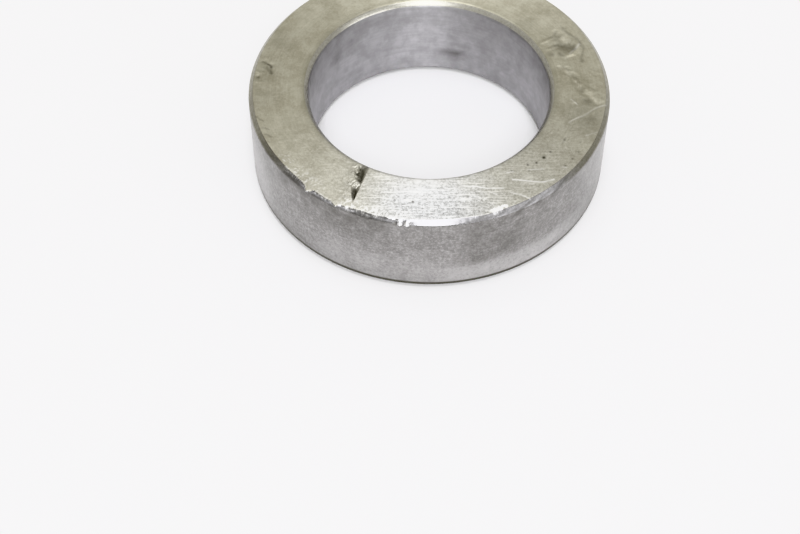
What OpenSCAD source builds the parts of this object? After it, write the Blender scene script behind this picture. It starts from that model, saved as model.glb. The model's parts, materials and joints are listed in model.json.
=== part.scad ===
// Shaft collar: a solid one-piece steel ring that is pressed onto a plain
// round journal to hold a bearing or a spacer in place along the shaft.
// Millimetres. The origin is the centre of the bore on the lower end face,
// and +Z runs up along the bore axis.

/* [Ring] */
// Diameter of the bore, the size of the journal that it is pressed onto
bore_d = 40; // [20:0.5:90]
// Radial thickness of the ring, from the bore wall to the outside wall
wall = 10; // [6:0.5:25]
// Width of the ring along the shaft, from end face to end face
width = 16; // [8:0.5:40]

/* [Edges] */
// Leg of the 45 degree chamfer where each end face meets the outside wall
outer_chamfer = 0.8; // [0.2:0.1:2.5]
// Leg of the 45 degree lead-in chamfer where each end face meets the bore
bore_chamfer = 0.8; // [0.2:0.1:2.5]

/* [Smoothness] */
// Number of flats that stand for a full turn when the ring is shown
turn_segments = 180; // [36:12:360]

/* [Hidden] */

bore_r = bore_d / 2;
outer_r = bore_r + wall;

// Half section of the ring: X is the distance from the axis, Y the height.
// The points run from the lower lead-in chamfer round to the upper one.
module ring_section() {
    polygon([
        [bore_r, bore_chamfer],
        [bore_r + bore_chamfer, 0],
        [outer_r - outer_chamfer, 0],
        [outer_r, outer_chamfer],
        [outer_r, width - outer_chamfer],
        [outer_r - outer_chamfer, width],
        [bore_r + bore_chamfer, width],
        [bore_r, width - bore_chamfer]
    ]);
}

// The collar, turned and bored from bar: the half section swept round the axis.
module collar() {
    color([0.70, 0.68, 0.63])
        rotate_extrude($fn = turn_segments)
            ring_section();
}

collar();
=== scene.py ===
# %% [markdown]
# # A worn steel shaft collar
# This lesson dresses one part: a solid steel ring that is pressed onto a shaft so that a
# bearing can't slide along it. The ring's sizes are already settled in a packed CAD model.
# Here we make its looks: turned and rubbed steel, a chisel cut, burrs, gouges and stains.
# The CAD model is loaded first and gives the leading sizes. The place of each mark is given
# in millimetres from the middle of the ring, or by its angle and its height.

# %% Load the frame
import json
from math import cos, radians, sin

import bpy
import numpy as np
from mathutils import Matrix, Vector


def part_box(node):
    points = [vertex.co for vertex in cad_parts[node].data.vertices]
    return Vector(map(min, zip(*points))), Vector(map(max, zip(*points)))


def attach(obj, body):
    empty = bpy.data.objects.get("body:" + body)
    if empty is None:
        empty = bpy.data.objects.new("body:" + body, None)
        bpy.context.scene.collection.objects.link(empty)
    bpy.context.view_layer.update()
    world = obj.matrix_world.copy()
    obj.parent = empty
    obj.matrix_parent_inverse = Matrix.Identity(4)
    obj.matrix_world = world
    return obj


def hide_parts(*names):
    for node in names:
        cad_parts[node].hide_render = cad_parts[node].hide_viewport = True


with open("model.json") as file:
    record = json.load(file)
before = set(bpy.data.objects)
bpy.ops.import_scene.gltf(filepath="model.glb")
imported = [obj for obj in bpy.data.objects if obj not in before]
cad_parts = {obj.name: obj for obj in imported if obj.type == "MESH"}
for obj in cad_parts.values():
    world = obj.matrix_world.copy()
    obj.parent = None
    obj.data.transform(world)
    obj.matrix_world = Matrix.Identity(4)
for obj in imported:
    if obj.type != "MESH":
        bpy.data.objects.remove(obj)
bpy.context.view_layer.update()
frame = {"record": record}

# %% [markdown]
# ## The ring's leading sizes
# The collar's box gives its outside radius and its width, and the record's bore mount gives
# the radius of the hole. Working in millimetres keeps the numbers in this lesson close to
# what a machinist reads off a drawing, so one scale, MM, turns them into Blender's metres.

# %% Sizes read from the frame
MM = 0.001
low_corner, high_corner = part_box("collar")
bore_mount = next(m for m in frame["record"]["mounts"] if m["name"] == "bore")

outer_radius = (high_corner.x - low_corner.x) / 2 / MM
ring_width = high_corner.z / MM
bore_radius = bore_mount["dims"]["r_mm"]
chamfer = (ring_width - bore_mount["dims"]["length_mm"]) / 2
print(f"outside radius {outer_radius:.2f}, bore radius {bore_radius:.2f}, "
      f"width {ring_width:.2f}, chamfer {chamfer:.2f} mm")

# %% [markdown]
# ## The camera
# The camera comes before the shapes, because it decides how much detail each side needs.
# It looks down on the ring from the front at about 47 degrees, from 277 mm away, and it aims
# at a point on the floor in front of the ring, so the ring sits high in the frame and its
# far rim runs just past the top edge.

# %% Camera
def place_in_scene(thing):
    """Links an object to the scene and hands it back."""
    bpy.context.scene.collection.objects.link(thing)
    return thing


camera_distance = 276.6
camera_height_angle = radians(47.38)
aim_point = Vector((-4.17, -25.92, 0.0)) * MM
view_angle = radians(28.27)

eye = Vector((0, -cos(camera_height_angle), sin(camera_height_angle))) * camera_distance * MM
camera_data = bpy.data.cameras.new("camera")
camera_data.angle = view_angle
camera_data.clip_start = 0.01
camera = place_in_scene(bpy.data.objects.new("camera", camera_data))
camera.location = eye
camera.rotation_euler = (aim_point - eye).to_track_quat("-Z", "Y").to_euler()
bpy.context.scene.camera = camera
print("camera stands at", tuple(round(v / MM, 1) for v in eye), "mm")

# %% [markdown]
# ## Room, table and lamps
# Bare metal shows what stands around it, so the room is half of its colour. The upper face
# looks up at the far wall, the outside wall looks down at the white table, and the front
# chamfer looks straight back over the camera. A dim warm room, a long lamp overhead, a
# smaller, stronger lamp above the camera and a soft fill give each something to reflect.
# The Khronos PBR Neutral view keeps the steel's own colours and lets the table come out
# nearly white without burning out the soft shadow at the foot of the ring.

# %% Lamps and room light
lamp_distance = 1.2
lamp_colour = (0.97, 0.975, 1.0)


def softbox(name, direction, width, depth, power):
    """A rectangular lamp that faces the ring from that direction. Sizes are in metres."""
    lamp_data = bpy.data.lights.new(name, "AREA")
    lamp_data.shape = "RECTANGLE"
    lamp_data.size = width
    lamp_data.size_y = depth
    lamp_data.energy = power
    lamp_data.color = lamp_colour
    lamp = place_in_scene(bpy.data.objects.new(name, lamp_data))
    lamp.location = Vector(direction).normalized() * lamp_distance
    lamp.rotation_euler = lamp.location.to_track_quat("Z", "Y").to_euler()
    return lamp


softbox("lamp_above_camera", (0.07, -1, 1.0), 0.30, 0.36, 7.4)
softbox("lamp_overhead", (-0.02, 0.04, 1), 0.24, 1.0, 6.7)
softbox("fill_from_right", (0.85, -0.6, 0.4), 0.9, 0.5, 2.6)

room = bpy.data.worlds.new("room")
room.use_nodes = True
room_light = room.node_tree.nodes["Background"]
room_light.inputs["Color"].default_value = (1.0, 0.98, 0.92, 1)
room_light.inputs["Strength"].default_value = 0.63
bpy.context.scene.world = room
bpy.context.scene.view_settings.view_transform = "Khronos PBR Neutral"

# %% [markdown]
# ## The table
# The ring stands on a plain pale surface. One large square is enough, because nothing on it
# should draw the eye.

# %% Table
table_reach = 3.0
table_corners = [(-table_reach, -table_reach, 0), (table_reach, -table_reach, 0),
                 (table_reach, table_reach, 0), (-table_reach, table_reach, 0)]
table_mesh = bpy.data.meshes.new("table")
table_mesh.from_pydata(table_corners, [], [(0, 1, 2, 3)])
table = place_in_scene(bpy.data.objects.new("table", table_mesh))
table_paint = bpy.data.materials.new("matt_white_table")
table_paint.use_nodes = True
table_shader = table_paint.node_tree.nodes["Principled BSDF"]
table_shader.inputs["Base Color"].default_value = (0.97, 0.97, 0.99, 1)
table_shader.inputs["Roughness"].default_value = 0.7
table_mesh.materials.append(table_paint)
print("the table reaches", table_reach, "m each way")

# %% [markdown]
# ## The section of the ring
# On a lathe the ring is one section swept round an axis, and the mesh is made the same way:
# rows of points follow the section, and columns of points go round. The rows lie close
# together on the upper face, where the damage is, and far apart on the plain lower half.
# Each corner gets a small radius, because a real edge is never a perfect line and it is
# the tiny round that catches the light. The bore's edges are rounder, worn by the shaft.

# %% Rows of the section
outer_rounds = 0.10
bore_rounds = 0.28
face_step = 0.14
chamfer_step = 0.13
outer_face_edge = outer_radius - chamfer
bore_face_edge = bore_radius + chamfer
between_walls = (bore_radius + outer_radius) / 2


def straight(start, end, step):
    """Points from start to end about one step apart, without the end point."""
    start, end = np.array(start, float), np.array(end, float)
    count = max(1, round(np.linalg.norm(end - start) / step))
    return [tuple(start + (end - start) * k / count) for k in range(count)]


def rounded_run(corners, steps, rounds):
    """Joins corners with straight runs and replaces each inner corner with a small round."""
    corners = [np.array(c, float) for c in corners]
    cuts = []
    for before, corner, after, edge_round in zip(corners, corners[1:], corners[2:], rounds):
        back = corner + (before - corner) / np.linalg.norm(before - corner) * edge_round
        ahead = corner + (after - corner) / np.linalg.norm(after - corner) * edge_round
        cuts.append((back, corner, ahead))
    points = []
    start = corners[0]
    for (back, corner, ahead), step in zip(cuts, steps):
        points += straight(start, back, step)
        points += [tuple(back * (1 - t) ** 2 + corner * 2 * t * (1 - t) + ahead * t ** 2)
                   for t in (0, 1 / 3, 2 / 3)]
        start = ahead
    return points + straight(start, corners[-1], steps[-1]) + [tuple(corners[-1])]


fine_wall_bottom = ring_width - 3.0
fine_bore_bottom = ring_width - 2.6
fine_rows = rounded_run(
    [(outer_radius, fine_wall_bottom), (outer_radius, ring_width - chamfer),
     (outer_face_edge, ring_width), (bore_face_edge, ring_width),
     (bore_radius, ring_width - chamfer), (bore_radius, fine_bore_bottom)],
    [0.24, chamfer_step, face_step, chamfer_step * 1.4, 0.36],
    [2 * outer_rounds, outer_rounds, bore_rounds, 1.5 * bore_rounds])
plain_rows = rounded_run(
    [(bore_radius, fine_bore_bottom), (bore_radius, chamfer), (bore_face_edge, 0),
     (outer_face_edge, 0), (outer_radius, chamfer), (outer_radius, fine_wall_bottom)],
    [1.2, 0.4, 1.4, 0.4, 1.2], [outer_rounds] * 4)[1:-1]
print(len(fine_rows), "fine rows over the upper half and", len(plain_rows), "plain rows below")

# %% [markdown]
# ## Columns where the damage is
# A chisel cut needs a column every twentieth of a millimetre, and an untouched stretch needs
# one every half millimetre. Giving every stretch the same would waste most of the mesh. Here
# each damaged zone asks for its own step, and the columns are dealt out so that the spacing
# glides from one zone to the next. Angles go round from +X, so 270 degrees is the front.

# %% Column angles
open_step = 1.3
close_zones = [  # middle of the zone, half its width and its step, in degrees
    (244.0, 4.0, 0.11),   # the chisel cut
    (246.0, 21.0, 0.20),  # the burred rim beside it
    (290.0, 34.0, 0.28),  # the rubbed front and its scratches
    (8.0, 30.0, 0.33),    # gouges on the right
    (190.0, 24.0, 0.46),  # dings on the left
]
zone_fade = 9.0
fine_per_plain = 4  # the plain lower half keeps every fourth column


def angle_between(a, b):
    """Signed turn from b to a, in degrees, between -180 and 180."""
    return (a - b + 180) % 360 - 180


def deal_columns():
    """Angles of all columns, closer together in the damaged zones."""
    turn = np.linspace(0, 360, 7201)
    step = np.full_like(turn, open_step)
    for middle, half, fine in close_zones:
        outside = np.clip((abs(angle_between(turn, middle)) - half) / zone_fade, 0, 1)
        step = np.minimum(step, fine + (open_step - fine) * outside ** 1.5)
    passed = np.concatenate([[0], np.cumsum((1 / step)[:-1] * np.diff(turn))])
    count = round(passed[-1] / fine_per_plain) * fine_per_plain
    return np.interp(np.arange(count) * passed[-1] / count, passed, turn)


columns = deal_columns()
print(len(columns), "columns, so about", len(columns) * len(fine_rows), "fine points")

# %% [markdown]
# ## Ragged metal
# Torn and hammered steel is uneven at every size. A table of random numbers, smoothed
# between its cells, gives bumps of any chosen width. The table is seeded, so the same
# metal comes out every time the script runs.

# %% Helpers for damage
def ragged(x, y, grain, seed):
    """Smooth random bumps between -1 and 1, each about one grain across."""
    table_of_heights = np.random.default_rng(seed).uniform(-1, 1, (256, 256))
    u, v = x / grain + 100, y / grain + 100
    i, j = np.floor(u).astype(int), np.floor(v).astype(int)
    a, b = u - i, v - j
    a, b = a * a * (3 - 2 * a), b * b * (3 - 2 * b)
    i, j, i2, j2 = i % 256, j % 256, (i + 1) % 256, (j + 1) % 256
    near = table_of_heights[i, j] * (1 - a) + table_of_heights[i2, j] * a
    far = table_of_heights[i, j2] * (1 - a) + table_of_heights[i2, j2] * a
    return near * (1 - b) + far * b


def rough_metal(x, y, grain, seed):
    """Ragged bumps in three sizes, the way torn metal breaks."""
    return (ragged(x, y, grain, seed) + 0.55 * ragged(x, y, grain / 2.1, seed + 1)
            + 0.3 * ragged(x, y, grain / 4.3, seed + 2)) / 1.85


def fade(value, start, end):
    """0 before start, 1 after end, and a smooth ramp between. start may be the larger."""
    t = np.clip((value - start) / (end - start), 0, 1)
    return t * t * (3 - 2 * t)


def window(value, opens, is_open, closing, closed):
    """1 from is_open to closing, fading to 0 at opens and at closed."""
    return fade(value, opens, is_open) * fade(value, closed, closing)


def x_and_y(radius, angle):
    """Where points at those radii and angles lie on the ring, seen from above."""
    turn = np.radians(angle)
    return radius * np.cos(turn), radius * np.sin(turn)


def along(x, y, start, end):
    """How far each point is along the line from start to end, and how far to its left."""
    line = np.array(end, float) - start
    length = np.hypot(*line)
    line = line / length
    dx, dy = x - start[0], y - start[1]
    return dx * line[0] + dy * line[1], dy * line[0] - dx * line[1], length


def mound(x, y, centre, radius):
    """1 at the centre, falling smoothly to 0 at the radius."""
    return fade(np.hypot(x - centre[0], y - centre[1]), radius, 0)


def groove(x, y, start, end, width):
    """1 on the line from start to end, falling to 0 at half the width on either side."""
    run, side, length = along(x, y, start, end)
    past = np.maximum(np.maximum(-run, run - length), 0)
    return fade(np.hypot(side, past), width / 2, 0)


a_few_places = np.linspace(0, 3, 5)
print("ragged heights along a line:", rough_metal(a_few_places, a_few_places, 1.0, 1).round(2))

# %% [markdown]
# ## The chisel cut
# Someone drove a cold chisel across the face to loosen the ring from its shaft. The chisel
# leaves one straight, steep side where its flat lay, and pushes two torn scoops out of the
# metal on the other side, with a bright ridge standing between them. To keep the straight
# side crisp, the columns near it are bent a little so that one of them runs along the cut.

# %% Chisel cut
cut_start = np.array((-9.30, -18.70))
cut_end = np.array((-11.40, -25.60))
cut_length = np.hypot(*(cut_end - cut_start))
straight_side = 0.012  # the scoops begin this far left of the cut
scoops_start = -1.2  # this far along it, just before the bore
between_scoops = 3.75  # and the bright ridge stands here


def angle_of(point):
    """The direction of a point on the face, in degrees from +X."""
    return np.degrees(np.arctan2(point[1], point[0])) % 360


cut_middle_angle = angle_of((cut_start + cut_end) / 2)
nearest_column = np.argmin(abs(angle_between(columns, cut_middle_angle)))
columns = (columns + angle_between(cut_middle_angle, columns[nearest_column])) % 360
columns.sort()


def follow_cut(angle, radius):
    """Bends columns near the cut so that the middle one lies along its straight side."""
    radii = np.hypot(*np.array([cut_start, cut_end]).T)
    turns = [angle_between(angle_of(p), cut_middle_angle) for p in (cut_start, cut_end)]
    bend = np.interp(radius, radii, turns)
    return angle + bend * fade(abs(angle_between(angle, cut_middle_angle)), 8, 0.5)


def chisel_depth(x, y):
    """Depth of the torn scoops left of the cut, and height of the metal thrown up by them."""
    run, side, _ = along(x, y, cut_start, cut_end)
    left = -side
    in_hollows = left > straight_side
    tear = rough_metal(x, y, 0.55, 11)
    near_width = np.interp(run, [-1.0, 0.3, 1.6, 2.7, 3.6], [1.1, 2.05, 1.85, 1.25, 0.35])
    near_floor = np.interp(run, [-1.0, 0.2, 1.4, 2.6, 3.6], [0.25, 0.55, 0.85, 0.75, 0.10])
    far_width = np.interp(run, [3.9, 4.6, 5.6, 6.6, 7.3], [0.4, 1.45, 1.1, 0.6, 0.1])
    far_floor = np.interp(run, [3.9, 4.6, 5.4, 6.4, 7.3], [0.05, 0.60, 0.85, 0.65, 0.0])
    width = np.where(run < between_scoops, near_width, far_width) * (1 + 0.30 * tear)
    floor_depth = np.where(run < between_scoops, near_floor, far_floor) * fade(run, 7.4, 7.1)
    share = left / np.maximum(width, 0.05)
    hollow = (0.22 + 0.78 * fade(share, 0.0, 0.5)) * fade(share, 1.05, 0.50)
    depth = floor_depth * hollow * (1 + 0.30 * tear) * in_hollows * (run > scoops_start)
    beside = window(run, -0.6, 0.6, 6.8, 8.0)
    torn_up = rough_metal(x, y, 0.36, 12)
    thrown_up = 0.055 * window(left, 0.2, 1.0, 1.2, 3.6) * beside * (0.4 + torn_up)
    ridge = 0.070 * fade(abs(run - between_scoops), 0.8, 0) * fade(left, 2.6, 1.4) * in_hollows
    ridge = ridge * (0.15 + 1.5 * torn_up)
    bulge = 0.05 * fade(abs(run - 0.3), 1.0, 0) * fade(abs(left - 1.9), 1.3, 0)
    bulge = bulge * (0.4 + 1.1 * torn_up)
    lip = 0.03 * fade(-left, 0.30, 0.02) * ~in_hollows * window(run, -0.2, 0.3, 7.0, 7.6)
    return depth, thrown_up + ridge + bulge + lip


print(f"chisel cut: {cut_length:.1f} mm long at {cut_middle_angle:.0f} degrees")

# %% [markdown]
# ## The burred rim
# Hammering has spread the face outward over the chamfer, so its edge is a ragged lip that
# overhangs in two places. The overhang changes along the rim, so it is a list of angles with
# the overhang at each, in the order met going round. Torn crumbs ride on the lip, and two
# bright beads with a nick beside them sit at its right end.

# %% Burred rim
rim_angles = [218.0, 222.0, 225.0, 227.5, 229.5, 231.2, 232.4, 232.9, 234.0, 237.0, 239.6, 240.6,
              242.0, 243.4, 246.0, 250.0, 254.0, 258.0, 262.0, 265.0, 268.0, 283.0, 286.0, 289.0,
              293.0]
rim_overhang = [0.00, 0.06, 0.05, 0.16, 0.50, 0.95, 1.00, 0.28, 0.32, 0.42, 0.50, 0.95,
                1.00, 0.45, 0.30, 0.16, 0.25, 0.28, 0.20, 0.15, 0.00, 0.00, 0.12, 0.12,
                0.00]
bead_places = [(-4.15, -29.62, 0.55), (-3.05, -29.68, 0.55)]
nick_place = (-4.85, -29.50)


def burr(angle, radius, height):
    """Outward push, lift and sink of the metal round the burred part of the rim."""
    x, y = x_and_y(radius, angle)
    arc = np.radians(angle) * outer_radius
    overhang = np.interp(angle, rim_angles, rim_overhang, left=0, right=0)
    overhang = np.maximum(overhang * (1 + 0.22 * ragged(arc, arc * 0, 0.55, 21)), 0)
    reach = fade(height, ring_width - chamfer + 0.1, ring_width - 0.12)
    from_edge = fade(radius, outer_face_edge - 0.9, outer_face_edge)
    out = overhang * reach * from_edge
    strip = np.interp(angle, [236, 244, 256, 262, 290, 306], [0, 1, 0.7, 0.12, 0.04, 0])
    near_edge = fade(radius, 28.6, 29.3) * fade(height, ring_width - 1.0, ring_width - 0.6)
    crumbs = 0.020 * strip * near_edge * rough_metal(x + height, y - height, 0.48, 31)
    left_crumbs = window(angle, 214, 222, 228, 234) * fade(radius, 27.9, 28.5)
    crumbs = crumbs + 0.035 * left_crumbs * near_edge * rough_metal(x, y, 0.6, 33)
    return out, crumbs


print("widest overhang", max(rim_overhang), "mm, at", rim_angles[np.argmax(rim_overhang)], "degrees")

# %% [markdown]
# ## Gouges, a raised ridge and dings
# On the right a punch has dug a trough and pushed a crescent of metal up at its end. Beyond
# it a long diagonal ridge was smeared up by a blow, and one deep scratch crosses to the rim.
# Small dings mark the left rim. Each is a simple mound or groove, bent by the ragged noise
# so that none of them looks stamped.

# %% Gouges and dings
def trough(x, y):
    """The punch trough on the right and the crescent pushed up beyond it."""
    wobble = 0.16 * ragged(x, y, 1.0, 41)
    run, side, _ = along(x, y, (20.4, 9.0), (24.2, 10.2))
    deep = np.interp(run, [-0.8, 0.8, 2.2, 3.2, 4.4], [0.0, 0.10, 0.24, 0.22, 0.0])
    half = np.interp(run, [-0.8, 1.0, 2.6, 4.4], [0.7, 1.8, 2.3, 1.5])
    dug = deep * fade(abs(side - 0.25 + wobble), half, half * 0.05)
    dug = dug + 0.10 * mound(x, y, (21.5, 12.9), 1.2)
    dug = dug + 0.05 * groove(x, y, (22.6, 10.4), (21.6, 12.4), 2.2)
    across = abs(angle_between(np.degrees(np.arctan2(y - 9.9, x - 22.7)), -15))
    arc = np.hypot(x - 22.7, y - 9.9)
    crescent = 0.14 * fade(abs(arc - 2.15 - wobble), 0.9, 0.0) * fade(across, 90, 35)
    upper_fold = groove(x, y, (19.0, 10.6), (21.1, 12.0), 1.1)
    lower_fold = groove(x, y, (20.1, 9.1), (21.5, 9.9), 1.0)
    folds = 0.05 * (upper_fold + lower_fold)
    crease = 0.022 * (groove(x, y, (22.4, 14.4), (24.8, 11.9), 1.2)
                      + groove(x, y, (24.8, 11.9), (26.0, 9.6), 1.2)
                      + groove(x, y, (26.0, 9.6), (25.5, 6.2), 1.0))
    return dug + crease, crescent + folds


ridge_path = [(22.4, 5.8), (24.1, 3.7), (25.2, 1.4), (26.0, -0.3), (27.4, -1.2), (28.3, -2.8)]
deep_scratch = [(22.8, -7.9), (24.8, -6.6), (27.6, -4.5), (29.2, -3.8)]
streaks = [  # start, end, width and height
    ((27.1, 4.0), (29.2, 3.2), 0.9, 0.022), ((26.2, 3.9), (27.2, 2.7), 0.8, 0.022),
    ((25.3, -10.8), (27.4, -10.0), 0.5, 0.014), ((23.5, -2.7), (24.4, -3.9), 0.5, 0.016),
    ((-29.1, -8.8), (-27.6, -8.0), 0.6, 0.05), ((-28.6, -10.2), (-27.4, -9.9), 0.5, 0.04),
    ((-28.9, 2.4), (-27.7, 2.2), 0.6, 0.05), ((-28.7, 0.2), (-27.9, 0.0), 0.5, 0.04)]
dents = [  # x, y, radius and depth
    (25.9, -2.8, 1.3, 0.06), (26.6, -3.4, 1.0, 0.06), (23.75, -3.9, 0.6, 0.05),
    (24.4, 2.6, 0.9, 0.04), (-27.6, 4.6, 1.0, 0.06), (-26.6, 4.1, 0.9, 0.055),
    (-26.3, 2.9, 0.8, 0.05), (-28.5, 1.2, 0.8, 0.09), (26.9, -6.9, 2.2, 0.05)]


def path_groove(x, y, points, width):
    """A groove or ridge along a chain of points."""
    height = np.zeros_like(x)
    for start, end in zip(points, points[1:]):
        height = np.maximum(height, groove(x, y, start, end, width))
    return height


def knocks(x, y):
    """Everything dug out of the face by knocks, and everything raised."""
    wobble_x = x + 0.25 * ragged(x, y, 1.1, 51)
    wobble_y = y + 0.25 * ragged(x, y, 1.1, 52)
    dug, raised = trough(x, y)
    smear = path_groove(wobble_x, wobble_y, ridge_path, 2.2)
    raised = raised + 0.085 * smear * (0.7 + 0.7 * rough_metal(x, y, 0.9, 53))
    dug = dug + 0.05 * path_groove(wobble_x + 0.7, wobble_y + 0.9, ridge_path, 1.2)
    dug = dug + 0.035 * path_groove(x, y, deep_scratch, 0.36)
    raised = raised + 0.014 * path_groove(x + 0.12, y - 0.25, deep_scratch, 0.5)
    for start, end, width, lift in streaks:
        raised = raised + lift * groove(wobble_x, wobble_y, start, end, width)
    for dent_x, dent_y, radius, depth in dents:
        dug = dug + depth * mound(wobble_x, wobble_y, (dent_x, dent_y), radius)
    return dug, raised


print(len(dents), "dents and", len(streaks), "raised streaks")

# %% [markdown]
# ## Building the ring
# Now the rows, the columns and the damage meet. Every fine point starts on the clean
# section, is bent along the cut, and is then moved by each kind of damage. How far it sits
# below the clean face is stored on the mesh, because the steel's finishes paint dirt and
# shade into what lies low.

# %% Displaced points of the upper half
def spread_round(rows, angles):
    """Radius, height and angle of every point where a row crosses a column."""
    radius, height = np.array(rows).T[:, :, None] + 0 * angles
    return radius, height, angles + 0 * radius


fine_radius, fine_height, unbent_angle = spread_round(fine_rows, columns)
fine_angle = follow_cut(unbent_angle, fine_radius)
fine_grid = (fine_angle, fine_radius, fine_height)
face_x, face_y = x_and_y(fine_radius, fine_angle)
on_top = fade(fine_height, ring_width - chamfer, ring_width - 0.15)
cut_depth, cut_raised = chisel_depth(face_x, face_y)
knock_depth, knock_raised = knocks(face_x, face_y)
push_out, crumb_lift = burr(*fine_grid)
waviness = 0.012 * ragged(face_x, face_y, 2.5, 61) + 0.006 * ragged(face_x, face_y, 0.7, 62)

beads = sum(0.30 * mound(face_x, face_y, place[:2], place[2]) for place in bead_places)
nick = 0.32 * mound(face_x, face_y, nick_place, 0.55)
near_chamfer = fade(fine_radius, outer_face_edge - 0.3, outer_face_edge)
edge_bumps = near_chamfer * fade(fine_height, ring_width - chamfer - 0.5, ring_width - chamfer)

sunk = (cut_depth + knock_depth) * on_top
lifted = (cut_raised + knock_raised) * on_top
new_height = fine_height - sunk + lifted + on_top * waviness + crumb_lift
new_radius = fine_radius + push_out + edge_bumps * (beads - nick) + 0.6 * crumb_lift
fine_points = np.stack([*x_and_y(new_radius, fine_angle), new_height], axis=-1)
print(f"deepest point {sunk.max():.2f} mm below the face, highest {lifted.max():.2f} mm above")

# %% [markdown]
# ## Joining the fine upper part to the plain lower part
# The lower part has no damage, so every fourth column is enough for it. Where the two parts
# meet, each face takes five points of the fine ring and two of the plain one. That closes the
# seam with no gap and no point left hanging on an edge, which would show as a crease.

# %% Mesh of the whole ring
row_count, column_count = fine_radius.shape
plain_radius, plain_height, plain_angle = spread_round(plain_rows, columns[::fine_per_plain])
plain_points = np.stack([*x_and_y(plain_radius, plain_angle), plain_height], axis=-1)
plain_count = plain_radius.shape[1]


def strip_faces(first, second, count):
    """Quads between two rings of points that start at those numbers."""
    return [(first + k, first + (k + 1) % count, second + (k + 1) % count, second + k)
            for k in range(count)]


def joining_faces(fine_first, plain_first, flip):
    """Faces between a fine ring and a plain ring with a quarter of its points."""
    faces = []
    for k in range(plain_count):
        fine_edge = [fine_first + (fine_per_plain * k + n) % column_count
                     for n in range(fine_per_plain + 1)]
        plain_edge = [plain_first + (k + 1) % plain_count, plain_first + k]
        face = fine_edge + plain_edge
        faces.append(tuple(reversed(face)) if flip else tuple(face))
    return faces


plain_start = row_count * column_count
ring_faces = []
for row in range(row_count - 1):
    ring_faces += strip_faces(row * column_count, (row + 1) * column_count, column_count)
ring_faces += joining_faces((row_count - 1) * column_count, plain_start, flip=False)
for row in range(len(plain_rows) - 1):
    row_start = plain_start + row * plain_count
    ring_faces += strip_faces(row_start, row_start + plain_count, plain_count)
ring_faces += joining_faces(0, plain_start + (len(plain_rows) - 1) * plain_count, flip=True)

ring_points = np.concatenate([fine_points.reshape(-1, 3), plain_points.reshape(-1, 3)]) * MM
ring_mesh = bpy.data.meshes.new("worn_ring")
ring_mesh.from_pydata(ring_points.tolist(), [], ring_faces)
ring_mesh.polygons.foreach_set("use_smooth", [True] * len(ring_mesh.polygons))
ring_mesh.update()

ring = place_in_scene(bpy.data.objects.new("collar_ring", ring_mesh))
triangles = sum(len(p.vertices) - 2 for p in ring_mesh.polygons)
print(len(ring_mesh.polygons), "faces,", triangles, "triangles")

# %% [markdown]
# ## Scratches
# Marks too shallow to change the outline still change how steel shines. Scratches cut through
# the dull skin to bright metal, and the same layer carries painted highlight on a patch at the
# front and on one crescent. They could be drawn on an image, but the mesh here is fine
# enough to carry them: each kind of mark is painted as a number from 0 to 1 at every point,
# and the steel's finish reads the numbers. Nothing here moves a point.

# %% Scratches
scratches = [  # chain of points, width and strength
    ([(13.5, -20.6), (16.1, -20.85), (18.3, -20.9), (20.0, -20.4)], 0.34, 0.9),
    ([(16.0, -21.45), (16.8, -21.4)], 0.25, 0.5),
    ([(15.9, -18.3), (18.4, -18.2)], 0.25, 0.6),
    ([(21.4, -17.8), (21.95, -17.8)], 0.3, 0.5),
    ([(13.1, -23.3), (14.7, -23.7), (16.0, -24.4)], 0.3, 0.6),
    ([(5.0, -21.9), (7.3, -22.15), (9.5, -22.5), (12.05, -22.4)], 0.3, 0.75),
    ([(9.6, -23.2), (10.9, -23.7)], 0.25, 0.6),
    ([(12.5, -19.2), (13.5, -18.9)], 0.25, 0.5),
    ([(-7.3, -23.8), (-3.1, -23.6)], 0.22, 0.5),
    ([(-0.6, -25.3), (6.7, -24.9)], 0.24, 0.5),
    ([(22.8, -7.9), (24.8, -6.6), (27.6, -4.5), (29.0, -3.9)], 0.30, 0.36),
    # Painted highlight: the crescent pushed up beyond the trough, drawn as a bright line.
    ([(23.7, 7.9), (24.6, 9.3), (25.2, 10.4)], 0.45, 0.4),
    ([(25.3, -10.8), (27.4, -10.0)], 0.22, 0.4),
    ([(23.5, -2.7), (24.4, -3.9)], 0.22, 0.4)]
painted_width = 1.5  # a painted line fades out this much wider than it looks


def strongest_line(x, y, lines):
    """The strongest of some lines at each point. A line is a chain, a width and a strength."""
    painted = np.zeros_like(x)
    for points, width, strength in lines:
        line = path_groove(x, y, points, width * painted_width)
        painted = np.maximum(painted, strength * line)
    return painted


def paint_scratches_and_highlight(x, y):
    """Bright lines with broken strength, and a painted highlight patch at the front of the face."""
    bent_x = x + 0.12 * ragged(x, y, 1.6, 71)
    bent_y = y + 0.12 * ragged(x, y, 1.6, 72)
    broken = 0.8 + 0.3 * ragged(x, y, 0.8, 73)
    # A painted highlight patch at the front of the face, laid in with the scratches.
    painted_highlight_patch = fade(np.hypot((x + 0.5) / 8.0, (y + 22.8) / 3.0), 1.2, 0.2)
    return np.maximum(strongest_line(bent_x, bent_y, scratches), 0.28 * painted_highlight_patch) * broken


print(len(scratches), "scratches, the widest", max(s[1] for s in scratches), "mm")

# %% [markdown]
# ## Pits
# Rust has eaten a few pinholes into the face, and oil has turned them black. They are too
# small to model, so each one is a round spot of dirt, a little wider than the hole itself.

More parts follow.
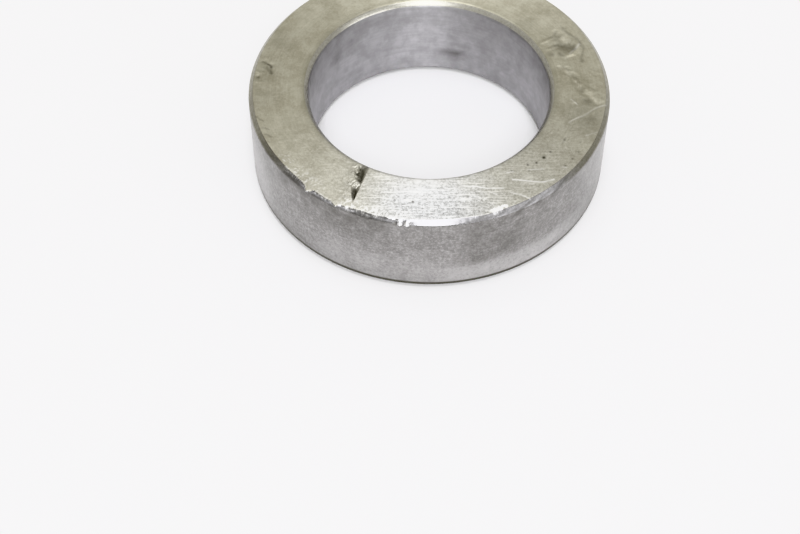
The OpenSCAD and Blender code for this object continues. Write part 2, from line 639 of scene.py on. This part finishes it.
# %% Pits
pits = [  # x, y, radius and strength
    (18.5, -15.75, 0.42, 1.0), (17.3, -16.9, 0.30, 0.8), (15.9, -17.4, 0.28, 0.8),
    (19.6, -14.5, 0.28, 0.7), (22.0, -11.7, 0.30, 0.8), (21.7, -12.4, 0.25, 0.6),
    (23.05, -15.9, 0.25, 0.6), (21.85, -17.4, 0.25, 0.6), (16.0, -23.0, 0.22, 0.5),
    (12.2, -25.1, 0.22, 0.5), (13.3, -18.7, 0.25, 0.5), (24.1, -14.4, 0.25, 0.5),
    (16.1, -18.65, 0.25, 0.5), (24.5, -12.2, 0.25, 0.5), (-2.2, -25.6, 0.30, 0.9),
    (3.4, -27.6, 0.22, 0.4), (7.25, -26.9, 0.20, 0.4), (0.2, -24.6, 0.20, 0.4),
    (3.6, -24.7, 0.20, 0.4)]
oil_spread = 1.3  # the oil reaches this much further than the hole


def strongest_spot(x, y, spots, spread=1.0):
    """The strongest of some spots at each point. A spot is x, y, a radius and a strength."""
    painted = np.zeros_like(x)
    for spot_x, spot_y, radius, strength in spots:
        spot = mound(x, y, (spot_x, spot_y), radius * spread)
        painted = np.maximum(painted, strength * spot)
    return painted


print(len(pits), "pits")

# %% [markdown]
# ## Grime and painted shade in the damage
# Dark grey is laid in what is dug out and beside it as a soft halo. It is painted shade that
# makes a hollow read as a hollow, with grime in it. A few round places and a few chains of
# points are enough. They are bent by ragged noise and made patchy.

# %% Grime and painted shade
# Each place and line is painted shade in or beside a hollow, with grime in it.
grime_and_shade_places = [  # x, y, radius and strength
    (21.7, 10.8, 2.6, 0.40), (20.6, 7.9, 1.0, 0.45), (22.3, 7.9, 0.8, 0.45),
    (21.4, 13.0, 0.9, 0.55), (24.15, 9.2, 0.8, 0.60), (26.9, -6.9, 2.0, 0.35),
    (26.2, -3.1, 1.2, 0.50), (26.2, -7.0, 6.5, 0.24), (8.0, -27.0, 2.6, 0.16),
    (5.2, -27.6, 2.0, 0.14), (-10.5, -20.2, 1.7, 0.66), (-10.9, -19.5, 1.3, 0.50),
    (-11.6, -19.6, 1.7, 0.30), (-11.2, -23.2, 1.1, 0.70), (-12.6, -22.4, 1.3, 0.25),
    (-28.0, 3.0, 6.0, 0.14), (-27.5, -3.5, 5.0, 0.12), (-28.6, 1.3, 0.7, 0.65),
    (-25.8, 9.9, 5.0, 0.15), (16.5, 15.3, 3.0, 0.14)]
grime_and_shade_lines = [  # chain of points, width and strength
    ([(21.9, 10.3), (23.3, 10.1)], 3.0, 0.52),
    ([(22.5, 14.45), (24.8, 11.9), (25.65, 10.8), (25.9, 9.4), (25.4, 6.1)], 0.5, 0.32),
    ([(22.4, 5.0), (23.4, 3.6), (25.0, 0.6), (25.6, -0.8)], 0.9, 0.28),
    ([(-28.1, 4.7), (-26.8, 4.1), (-26.3, 2.2)], 0.8, 0.65),
    ([(-27.5, 3.3), (-26.6, 2.6)], 0.6, 0.45),
    ([(-28.0, -8.2), (-27.0, -8.9)], 0.5, 0.40),
    ([(-27.2, -10.2), (-26.0, -10.9)], 0.5, 0.35),
    ([(-26.2, -11.7), (-25.3, -12.1)], 0.5, 0.35)]


def paint_grime_and_shade(x, y):
    """Soft dark painted shade, with grime in it, in and beside the damage."""
    bent_x = x + 0.35 * ragged(x, y, 0.9, 77)
    bent_y = y + 0.35 * ragged(x, y, 0.9, 78)
    patchy = 0.9 + 0.35 * rough_metal(x, y, 0.6, 79)
    spots = strongest_spot(bent_x, bent_y, grime_and_shade_places)
    lines = strongest_line(bent_x, bent_y, grime_and_shade_lines)
    return np.clip(np.maximum(spots, lines) * patchy, 0, 1)


print(len(grime_and_shade_places), "places and", len(grime_and_shade_lines), "lines of grime")

# %% [markdown]
# ## Bright crumbs, and where the face is rubbed and lit
# Freshly torn steel is white, so the burred lip glitters with crumbs too small to model one
# by one. Further in, the front of the face has been rubbed pale: an oval patch whose long soft
# ends are painted highlight at the front. One ragged patch at the front right, and the two beads,
# are polished to bare metal.

# %% Crumbs and rubbed places
def paint_crumbs(angle, radius, height):
    """White crumbs of fresh metal along the burred rim, and on the face just inside it."""
    x, y = x_and_y(radius, angle)
    crumbs = rough_metal(x, y, 0.27, 85)
    near_face = fade(height, 15.5, 15.8)
    on_lip = window(angle, 225, 231, 262, 270) * fade(radius, 28.92, 29.22) * near_face
    inside = window(angle, 240, 246, 260, 268) * fade(radius, 27.2, 28.6)
    right_end = 0.6 * window(angle, 277, 284, 287, 292) * window(radius, 27.2, 28.2, 28.7, 29.0)
    inside = np.maximum(inside, right_end) * near_face
    left_ticks = window(angle, 212, 218, 230, 240) * fade(radius, 26.6, 28.4) * near_face
    on_chamfer = window(angle, 238, 244, 260, 266) * (radius > between_walls)
    on_chamfer = on_chamfer * fade(abs(height - 15.5), 0.38, 0.2)
    return np.maximum.reduce([0.45 * on_lip * fade(crumbs, -0.10, 0.25),
                              0.65 * inside * fade(crumbs, 0.02, 0.35),
                              0.22 * on_chamfer * fade(crumbs, 0.10, 0.40),
                              0.48 * left_ticks * fade(crumbs, 0.06, 0.42)])


def paint_rubbing_and_highlight(x, y):
    """Where the face has been rubbed pale, and a wide soft lightening round it that is painted
    highlight.
    """
    patch = np.hypot(x / 11.5, (y + 26.0) / 9.0) + 0.10 * ragged(x, y, 2.0, 74)
    # The wide soft lightening is painted highlight towards the front of the face.
    wide = np.hypot((x - 4.5) / 30.0, (y + 27.0) / 27.0)
    return np.clip(0.58 * fade(patch, 1.25, 0.2) + 0.46 * fade(wide, 1.3, 0.1), 0, 1)


def paint_rim_rub(x, y):
    """The struck patch at the front right of the rim, and the two beads."""
    patch = 0.85 * groove(x, y, (10.3, -27.0), (12.1, -26.2), 2.0)
    ragged_edge = 0.60 * rough_metal(x, y, 0.5, 76) * fade(patch, 0.0, 0.2)
    struck = fade(patch + ragged_edge, 0.35, 0.75)
    beads = sum(mound(x, y, place[:2], place[2]) for place in bead_places)
    return np.clip(struck + fade(beads, 0.1, 0.45), 0, 1)


print("rubbing at the middle of the front:", round(float(paint_rubbing_and_highlight(0.0, -25.0)), 2))

# %% [markdown]
# ## Stains, painted shade and lighter places on the walls
# Oil and hands leave dark clouds on the outside, most of all at the front right. The upper left
# is darker towards the top. A band of painted shade runs just under the rim, deepest at the
# front right and under the overhanging lip. The lower part of the outside and its left end are
# brighter. In the bore a few old oil spots are left, and painted shade darkens its sides and
# upper part. These marks lie on the walls, so they are placed by the angle round the ring and
# the height above the table.

# %% Stains, painted shade and lighter places
# Painted shade just under the rim, given by angle round the ring.
under_rim_angles = [205, 217, 230, 245, 262, 280, 287, 294, 312, 322]
under_rim_shade = [0.0, 0.25, 0.45, 0.30, 0.1, 0.2, 0.45, 0.95, 0.85, 0.1]
bore_spots = [  # angle, height, radius and strength
    (83.1, 5.0, 1.5, 1.0), (74.1, 4.4, 1.6, 0.8), (78.0, 4.2, 1.8, 0.5),
    (144.5, 10.0, 2.2, 0.35), (134.0, 11.0, 2.2, 0.30)]


def paint_stains_and_shade(angle, radius, height):
    """Dark blotches on the outside wall and in the bore: oil stains, and painted shade under the rim
    and on the bore's sides.
    """
    arc = np.radians(angle) * radius
    blotchy = 0.50 + 0.75 * rough_metal(arc, height, 1.7, 81)
    front_right = window(angle, 276, 285, 295, 304) * window(height, 4, 6.5, 12.5, 15.6)
    further_right = window(angle, 290, 306, 322, 338) * fade(height, 4, 7)
    # Darker towards the top at the upper left.
    upper_left = window(angle, 201, 210, 252, 264) * fade(height, 7, 13.5)
    outside = 0.95 * front_right + 0.50 * further_right + 1.05 * upper_left
    # Painted shade: a dark band just under the rim, deepest at the front right and under the lip.
    painted_rim_shade = np.interp(angle, under_rim_angles, under_rim_shade)
    outside = outside + painted_rim_shade * np.interp(height, [13.4, 14.4, 15.5, 15.9], [0, 1, 0.9, 0.3])
    # Painted shade: the bore darker away from its middle at the back, more towards the top.
    inside = 0.28 * fade(abs(angle_between(angle, 90)), 15, 60) * fade(height, 6, 15)
    for spot_angle, spot_height, spot_radius, strength in bore_spots:
        centre = (np.radians(spot_angle) * bore_radius, spot_height)
        inside = inside + strength * mound(arc, height, centre, spot_radius)
    stained = np.where(radius > between_walls, outside * blotchy, inside * (0.7 + 0.6 * blotchy))
    return np.clip(stained, 0, 1)


def paint_wall_lightening(angle, radius, height):
    """Where the outside wall is brighter, low down and at the left end."""
    arc = np.radians(angle) * radius
    patchy = 0.75 + 0.35 * rough_metal(arc, height, 2.0, 91)
    low_right = window(angle, 268, 290, 312, 334) * fade(height, 6.5, 3.5)
    low_front = 0.50 * window(angle, 224, 242, 270, 288) * fade(height, 10, 4)
    left_end = 0.55 * window(angle, 186, 196, 204, 214) * fade(height, 15, 7)
    return np.clip((low_right + low_front + left_end) * patchy, 0, 1)


print(len(bore_spots), "oil spots in the bore")

# %% [markdown]
# ## A toolbox for nodes
# A finish in Blender is a tree of nodes that ends in a shader. Adding nodes one at a time in
# code is wordy, so this small class wraps the few kinds that the ring needs. Every value is
# either the output of another node or a plain number, and feed() accepts both.

# %% Node toolbox
class NodeTree:
    """A material under construction, with short names for the nodes that it needs."""

    def __init__(self, name):
        self.material = bpy.data.materials.new(name)
        self.material.use_nodes = True
        self.tree = self.material.node_tree
        self.shader = self.tree.nodes["Principled BSDF"]

    def feed(self, socket, value):
        """Connects an output, or sets a plain value."""
        if isinstance(value, bpy.types.NodeSocket):
            self.tree.links.new(value, socket)
        else:
            socket.default_value = value

    def node(self, kind, **inputs):
        """Adds a shader node and fills its named inputs."""
        made = self.tree.nodes.new("ShaderNode" + kind)
        for name, value in inputs.items():
            self.feed(made.inputs[name], value)
        return made

    def math(self, operation, first, second):
        """One step of sums on plain numbers."""
        made = self.node("Math")
        made.operation = operation
        self.feed(made.inputs[0], first)
        self.feed(made.inputs[1], second)
        return made.outputs[0]

    def vector(self, operation, first, second=(0, 0, 0), result="Vector"):
        """One step of sums on positions."""
        made = self.node("VectorMath")
        made.operation = operation
        self.feed(made.inputs[0], first)
        self.feed(made.inputs[1], second)
        return made.outputs[result]

    def noise(self, position, scale, detail, roughness):
        """Soft random values round 0.5."""
        made = self.node("TexNoise", Vector=position, Scale=scale, Detail=detail, Roughness=roughness)
        return made.outputs[0]

    def spread(self, value, low, high, to_low=0.0, to_high=1.0):
        """Stretches low..high over to_low..to_high and cuts off what lies beyond."""
        made = self.node("MapRange")
        for socket, number in zip(made.inputs, (value, low, high, to_low, to_high)):
            self.feed(socket, number)
        return made.outputs[0]

    def mix(self, amount, plain, marked):
        """The plain colour where amount is 0 and the marked colour where it is 1."""
        made = self.node("Mix")
        made.data_type = "RGBA"
        self.feed(made.inputs["Factor"], amount)
        for socket, colour in zip(made.inputs[6:8], (plain, marked)):
            self.feed(socket, colour if isinstance(colour, bpy.types.NodeSocket) else (*colour, 1))
        return made.outputs[2]

    def tint(self, colour, tinted, marks, low, high, strength=1.0):
        """Moves colour towards tinted, by as much as strength, as marks go from low to high."""
        return self.mix(self.spread(marks, low, high, 0.0, strength), colour, tinted)

    def relief(self, *layers):
        """Fine relief in layers, each a height and its depth in millimetres."""
        below = None
        for height, depth_mm in layers:
            made = self.node("Bump", Height=height, Distance=depth_mm * MM)
            if below is not None:
                self.feed(made.inputs["Normal"], below)
            below = made.outputs[0]
        return below


print("node tools:", [name for name in vars(NodeTree) if not name.startswith("_")])

# %% [markdown]
# ## Steel from a lathe
# Four surfaces of the ring were made by four different cuts, so each gets its own finish, and
# all four share what is true of any steel off a lathe. Positions are measured in millimetres
# from the middle of the ring. Tool marks run round it, so they are looked up with the
# direction as a point on a circle: an angle would leave a seam where it starts again. The
# marks also pull every highlight out sideways, which the shader calls anisotropy.

# %% Lathe-turned steel
class TurnedSteel(NodeTree):
    """What the four steel finishes have in common."""

    def __init__(self, name):
        super().__init__(name)
        metres = self.node("TexCoord").outputs["Object"]
        self.place = self.vector("DIVIDE", metres, (MM, MM, MM))
        self.height = self.node("SeparateXYZ", Vector=self.place).outputs["Z"]
        flat = self.vector("MULTIPLY", self.place, (1, 1, 0))
        self.radius = self.vector("LENGTH", flat, result="Value")
        self.direction = self.vector("NORMALIZE", flat)

    def tool_marks(self, across, turns, per_mm, detail, roughness):
        """Noise that changes slowly round the ring and quickly across the tool marks."""
        circle = self.vector("MULTIPLY", self.direction, (turns, turns, turns))
        step = self.node("CombineXYZ", Z=self.math("MULTIPLY", across, per_mm))
        position = self.vector("ADD", circle, step.outputs[0])
        return self.noise(position, 1.0, detail, roughness)

    def painted(self, name):
        """One kind of mark, read back from the mesh."""
        made = self.node("Attribute")
        made.attribute_name = name
        return made.outputs["Fac"]

    def mark(self, colour, name, marked, strength=None):
        """Lays the marked colour wherever that kind of mark is painted."""
        amount = self.painted(name)
        if strength is not None:
            amount = self.math("MULTIPLY", amount, strength)
        return self.mix(amount, colour, marked)

    def done(self, colour, roughness, relief, lathe_sheen):
        """Connects the shader. Lathe sheen stretches highlights across the tool marks."""
        round_the_axis = self.node("Tangent")
        round_the_axis.direction_type = "RADIAL"
        round_the_axis.axis = "Z"
        sockets = {"Base Color": colour, "Roughness": roughness, "Normal": relief, "Metallic": 1.0,
                   "Anisotropic": lathe_sheen, "Anisotropic Rotation": 0.25,
                   "Tangent": round_the_axis.outputs[0]}
        for name, value in sockets.items():
            self.feed(self.shader.inputs[name], value)
        print(self.material.name, "has", len(self.tree.nodes), "nodes")
        return self.material


# The colour of grime, and of the painted shade laid in hollows and beside the damage.
grime_and_shade_colour = (0.090, 0.085, 0.066)
fresh_steel = (1.0, 1.0, 1.0)
usual_noise = (0.36, 0.64)  # most of the noise lies between these values
stain_and_shade_strength = 0.62
dirt_and_shade_dullness = 1.2
print("steel tools:", [name for name in vars(TurnedSteel) if not name.startswith("_")])

# %% [markdown]
# ## The faced ends
# The face was cut flat by a tool moving inward, then years of oil gave it a brownish skin.
# Under the skin the rings of the tool are still faintly there. Where the face was rubbed it
# is pale and grey, with fine straight strokes, and that patch also paints in part of the bright
# highlight at the front. Dirt and painted shade in the hollows come last, because they lie on
# top of everything else, and they are also the dullest: they take the shine away as well as the
# colour.

# %% Faced end
def faced_end():
    """Brown skin, the pale rubbed patch with part of the painted highlight, bright scratches, and
    dirt with painted shade over all of them.
    """
    brown_skin, pale_skin = (0.447, 0.426, 0.340), (0.585, 0.568, 0.473)
    ring_brown, edge_brown = (0.327, 0.310, 0.241), (0.292, 0.284, 0.224)
    pale_grain, dark_grain = (0.688, 0.679, 0.602), (0.284, 0.271, 0.215)
    worn_grey, worn_pale = (0.28, 0.28, 0.275), (0.80, 0.805, 0.815)
    dark_stroke = (0.361, 0.361, 0.344)

    steel = TurnedSteel("faced_steel_dulled")
    rings = steel.tool_marks(steel.radius, 3.0, 2.6, 4.0, 0.65)
    strokes = steel.noise(steel.vector("MULTIPLY", steel.place, (0.22, 4.2, 1.0)), 1.0, 3.0, 0.7)
    cloud = steel.noise(steel.place, 0.30, 4.0, 0.65)
    grain = steel.noise(steel.place, 2.6, 4.0, 0.8)

    skin = steel.tint(brown_skin, pale_skin, cloud, *usual_noise)
    skin = steel.tint(skin, ring_brown, rings, 0.35, 0.62, 0.26)
    skin = steel.tint(skin, pale_grain, grain, 0.50, 0.70, 0.40)
    skin = steel.tint(skin, dark_grain, grain, 0.44, 0.30, 0.40)
    skin = steel.tint(skin, edge_brown, steel.radius, 21.8, 20.9, 0.35)

    # The rubbed patch: grey worn steel that also carries part of the painted front highlight.
    worn_and_highlit = steel.tint(worn_grey, worn_pale, grain, *usual_noise)
    worn_and_highlit = steel.tint(worn_and_highlit, fresh_steel, strokes, 0.54, 0.66)
    worn_and_highlit = steel.tint(worn_and_highlit, dark_stroke, strokes, 0.42, 0.30, 0.5)

    colour = steel.mark(skin, "rubbed", worn_and_highlit)
    bright = steel.math("MAXIMUM", steel.painted("scratched"), steel.painted("rim_rub"))
    colour = steel.mix(bright, colour, fresh_steel)
    # Painted shade with dirt in it: the deeper a point is sunk, the darker it is painted.
    in_hollows = steel.spread(steel.painted("sunk"), 0.04, 0.60, 0.0, 0.74)
    dirt_and_shade = steel.math("MAXIMUM", steel.painted("grimed"), in_hollows)
    colour = steel.mix(dirt_and_shade, colour, grime_and_shade_colour)

    roughness = steel.spread(rings, 0.3, 0.7, 0.44, 0.58)
    roughness = steel.math("MAXIMUM", roughness, steel.math("MULTIPLY", dirt_and_shade, dirt_and_shade_dullness))
    relief = steel.relief((rings, 0.008), (grain, 0.010), (strokes, 0.008))
    return steel.done(colour, roughness, relief, 0.5)


faced_end_finish = faced_end()

# %% [markdown]
# ## The turned outside
# The outside was turned with the ring spinning, so fine lines run round it. Hands and oil have
# greyed it unevenly: soft clouds, upright streaks, a speckle from handling and dark stains on
# the front. Painted shade darkens it just under the rim, and it is brighter low down. A dark line
# just above the lower chamfer is painted contact shade where the ring meets the table, with
# oily grime in it.

# %% Turned outside
def turned_outside():
    """Grey turned steel with clouds, streaks and speckle, then lighter places, stains, painted shade
    and a foot line of painted contact shade.
    """
    dark_line, pale_line = (0.243, 0.235, 0.228), (0.319, 0.310, 0.305)
    cloud_grey, streak_grey = (0.184, 0.177, 0.170), (0.168, 0.162, 0.158)
    pale_mottle, dark_mottle = (0.405, 0.395, 0.390), (0.150, 0.144, 0.140)
    pale_grain, dark_grain = (0.520, 0.510, 0.504), (0.143, 0.137, 0.134)
    wall_lightened_colour, stain_and_shade_brown = (0.590, 0.577, 0.577), (0.109, 0.105, 0.095)

    steel = TurnedSteel("turned_steel_outside")
    lines = steel.tool_marks(steel.height, 7.0, 3.0, 4.0, 0.75)
    streaks = steel.tool_marks(steel.height, 48.0, 0.35, 3.0, 0.7)
    grain = steel.noise(steel.place, 2.3, 4.0, 0.8)
    mottle = steel.noise(steel.place, 0.95, 4.0, 0.7)
    cloud = steel.noise(steel.place, 0.30, 4.0, 0.65)

    colour = steel.tint(dark_line, pale_line, lines, *usual_noise)
    colour = steel.tint(colour, cloud_grey, cloud, 0.42, 0.62, 0.45)
    colour = steel.tint(colour, streak_grey, streaks, 0.48, 0.66, 0.35)
    colour = steel.tint(colour, pale_mottle, mottle, 0.52, 0.66, 0.40)
    colour = steel.tint(colour, dark_mottle, mottle, 0.46, 0.33, 0.40)
    # Brighter low down and at the left end.
    colour = steel.mark(colour, "polished", wall_lightened_colour, 0.75)
    colour = steel.tint(colour, pale_grain, grain, 0.50, 0.66, 0.50)
    colour = steel.tint(colour, dark_grain, grain, 0.46, 0.32, 0.50)
    # Oil stains, and painted shade just under the rim.
    colour = steel.mark(colour, "stained", stain_and_shade_brown, stain_and_shade_strength)
    # Painted contact shade where the ring meets the table, with oily grime: darker towards the foot.
    colour = steel.tint(colour, (0.100, 0.097, 0.078), steel.height, 1.50, 1.25)

    roughness = steel.spread(lines, 0.3, 0.7, 0.29, 0.38)
    relief = steel.relief((lines, 0.014), (grain, 0.010), (streaks, 0.006))
    return steel.done(colour, roughness, relief, 0.4)


turned_outside_finish = turned_outside()

# %% [markdown]
# ## The chamfers
# A chamfer is cut with the flank of the tool, which leaves it smoother than the rest, so it
# flashes white where it faces a lamp. Round the bore it is paler than round the outside. At
# the front, hands have worn its brown skin down to grey, and the struck places are bright.
# Painted shade darkens it under the rim and in its hollows, where dirt lies too, and the lower
# chamfer is painted dark as contact shade at the table, with oily grime in it.

# %% Chamfers
def turned_chamfer():
    """Smooth bright steel, brown round the outside, paler at the bore, greyed by hands, and darkened
    by dirt and painted shade.
    """
    outer_dark, outer_pale = (0.275, 0.265, 0.220), (0.375, 0.365, 0.320)
    inner_dark, inner_pale = (0.488, 0.478, 0.425), (0.650, 0.641, 0.595)
    handled_dark, handled_pale = (0.262, 0.259, 0.266), (0.400, 0.396, 0.408)

    steel = TurnedSteel("chamfer_steel")
    lines = steel.tool_marks(steel.height, 2.5, 5.0, 4.0, 0.7)
    grain = steel.noise(steel.place, 2.2, 3.0, 0.75)
    speckle = steel.spread(grain, *usual_noise)

    outer = steel.mix(speckle, outer_dark, outer_pale)
    inner = steel.mix(speckle, inner_dark, inner_pale)
    handled = steel.mix(speckle, handled_dark, handled_pale)
    colour = steel.tint(outer, inner, steel.radius, 26, 24)
    colour = steel.mark(colour, "handled", handled)
    # Oil stains, and painted shade just under the rim.
    colour = steel.mark(colour, "stained", (0.112, 0.108, 0.101), stain_and_shade_strength)
    colour = steel.mark(colour, "rim_rub", (0.95, 0.95, 0.97))
    colour = steel.mark(colour, "scratched", fresh_steel)
    # Painted shade with dirt in it, darker the deeper a point is sunk.
    dirt_and_shade = steel.spread(steel.painted("sunk"), 0.06, 0.85, 0.0, 0.55)
    colour = steel.mix(dirt_and_shade, colour, grime_and_shade_colour)
    # Painted contact shade, with oily grime, on the lower chamfer next to the table.
    colour = steel.tint(colour, (0.090, 0.086, 0.070), steel.height, 1.15, 0.95)

    roughness = steel.spread(lines, 0.3, 0.7, 0.25, 0.35)
    roughness = steel.math("MAXIMUM", roughness, steel.math("MULTIPLY", dirt_and_shade, dirt_and_shade_dullness))
    relief = steel.relief((lines, 0.010), (grain, 0.008))
    return steel.done(colour, roughness, relief, 0.5)


turned_chamfer_finish = turned_chamfer()

# %% [markdown]
# ## The bore
# The bore slid on a shaft, which left it the cleanest and most even surface of the ring. A
# boring tool leaves a regular spiral, so its sheen is stretched more than on the outside. A
# few dark spots near the bottom are old oil, and painted shade darkens its sides and upper part.

# %% Bored inside
def bored_inside():
    """Even grey steel with the spiral of the boring tool, faint clouds, old oil and painted shade."""
    dark_line, pale_line = (0.425, 0.417, 0.431), (0.503, 0.495, 0.512)
    cloud_grey, streak_grey = (0.310, 0.303, 0.310), (0.310, 0.304, 0.310)

    steel = TurnedSteel("bored_steel_inside")
    lines = steel.tool_marks(steel.height, 2.5, 1.6, 4.0, 0.7)
    streaks = steel.tool_marks(steel.height, 9.0, 0.35, 3.0, 0.65)
    cloud = steel.noise(steel.place, 0.35, 4.0, 0.65)

    colour = steel.tint(dark_line, pale_line, lines, *usual_noise)
    colour = steel.tint(colour, cloud_grey, cloud, 0.42, 0.62, 0.5)
    colour = steel.tint(colour, streak_grey, streaks, 0.46, 0.62, 0.30)
    # Old oil spots, and painted shade on the sides and upper part of the bore.
    colour = steel.mark(colour, "stained", (0.095, 0.090, 0.082), 0.85)

    roughness = steel.spread(lines, 0.3, 0.7, 0.44, 0.54)
    relief = steel.relief((lines, 0.010))
    return steel.done(colour, roughness, relief, 0.8)


bored_inside_finish = bored_inside()

# %% [markdown]
# ## Painting the marks on the mesh
# Each kind of mark becomes a named layer of numbers, one number per point, in the same order
# as the points. The plain lower half gets zeros, except for stains and polish, which reach
# down to the table. Marks on the face fade out just below its edge, so none runs down the wall.

# %% Layers of marks
unmarked = np.zeros_like(plain_radius)


def write_marks(name, fine_values, plain_values=unmarked):
    """Stores one kind of mark on every point of the ring."""
    layer = ring_mesh.attributes.new(name, "FLOAT", "POINT")
    layer.data.foreach_set("value", np.concatenate([fine_values.ravel(), plain_values.ravel()]))


near_top = fade(fine_height, ring_width - chamfer - 0.15, ring_width - chamfer + 0.05)
scratched = paint_scratches_and_highlight(face_x, face_y) * on_top
crumbs_of_metal = paint_crumbs(*fine_grid)
oiled_pits = strongest_spot(face_x, face_y, pits, oil_spread)
# Black oil in the pits, and painted shade with grime in and beside the damage.
grimed = np.maximum(oiled_pits, paint_grime_and_shade(face_x, face_y)) * on_top
handled = window(fine_angle, 208, 228, 312, 330) * (fine_radius > between_walls)

# How deep each point is sunk, which the finishes paint as dirt and shade.
write_marks("sunk", sunk - 0.3 * lifted + 1.5 * nick * edge_bumps)
# Scratches and crumbs, with the painted highlight patch and crescent.
write_marks("scratched", np.maximum(scratched, crumbs_of_metal))
write_marks("grimed", grimed)
# Rubbed wear, with part of the painted front highlight.
write_marks("rubbed", paint_rubbing_and_highlight(face_x, face_y) * near_top)
write_marks("rim_rub", paint_rim_rub(face_x, face_y) * near_top)
write_marks("handled", handled)
# Stains with painted shade, and the lighter places of the wall.
for name, paint in (("polished", paint_wall_lightening), ("stained", paint_stains_and_shade)):
    write_marks(name, paint(*fine_grid), paint(plain_angle, plain_radius, plain_height))
print("layers of marks:", [layer.name for layer in ring_mesh.attributes if layer.domain == "POINT"])

# %% [markdown]
# ## Which finish goes where
# The clean section decides: what lies between the two chamfers in radius is a face, what lies
# between them in height is a wall, and the rest is chamfer. Asking the clean section, and not
# the damaged points, keeps the borders between finishes straight where a burr hangs over.

# %% Finishes on the mesh
for finish in (faced_end_finish, turned_outside_finish, turned_chamfer_finish, bored_inside_finish):
    ring_mesh.materials.append(finish)
FACE, OUTSIDE, CHAMFER, BORE = range(4)

clean_radius = np.concatenate([fine_radius.ravel(), plain_radius.ravel()])
clean_height = np.concatenate([fine_height.ravel(), plain_height.ravel()])


def finish_for(corners):
    """The number of the finish for a mesh face with those corners."""
    radius = clean_radius[list(corners)].mean()
    height = clean_height[list(corners)].mean()
    if bore_face_edge < radius < outer_face_edge:
        return FACE
    if not chamfer < height < ring_width - chamfer:
        return CHAMFER
    return OUTSIDE if radius > between_walls else BORE


finish_numbers = [finish_for(corners) for corners in ring_faces]
ring_mesh.polygons.foreach_set("material_index", finish_numbers)
print("mesh faces with each finish:", [finish_numbers.count(n) for n in range(4)])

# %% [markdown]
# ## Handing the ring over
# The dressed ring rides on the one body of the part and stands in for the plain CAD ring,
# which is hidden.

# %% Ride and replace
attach(ring, "root")
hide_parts("collar")
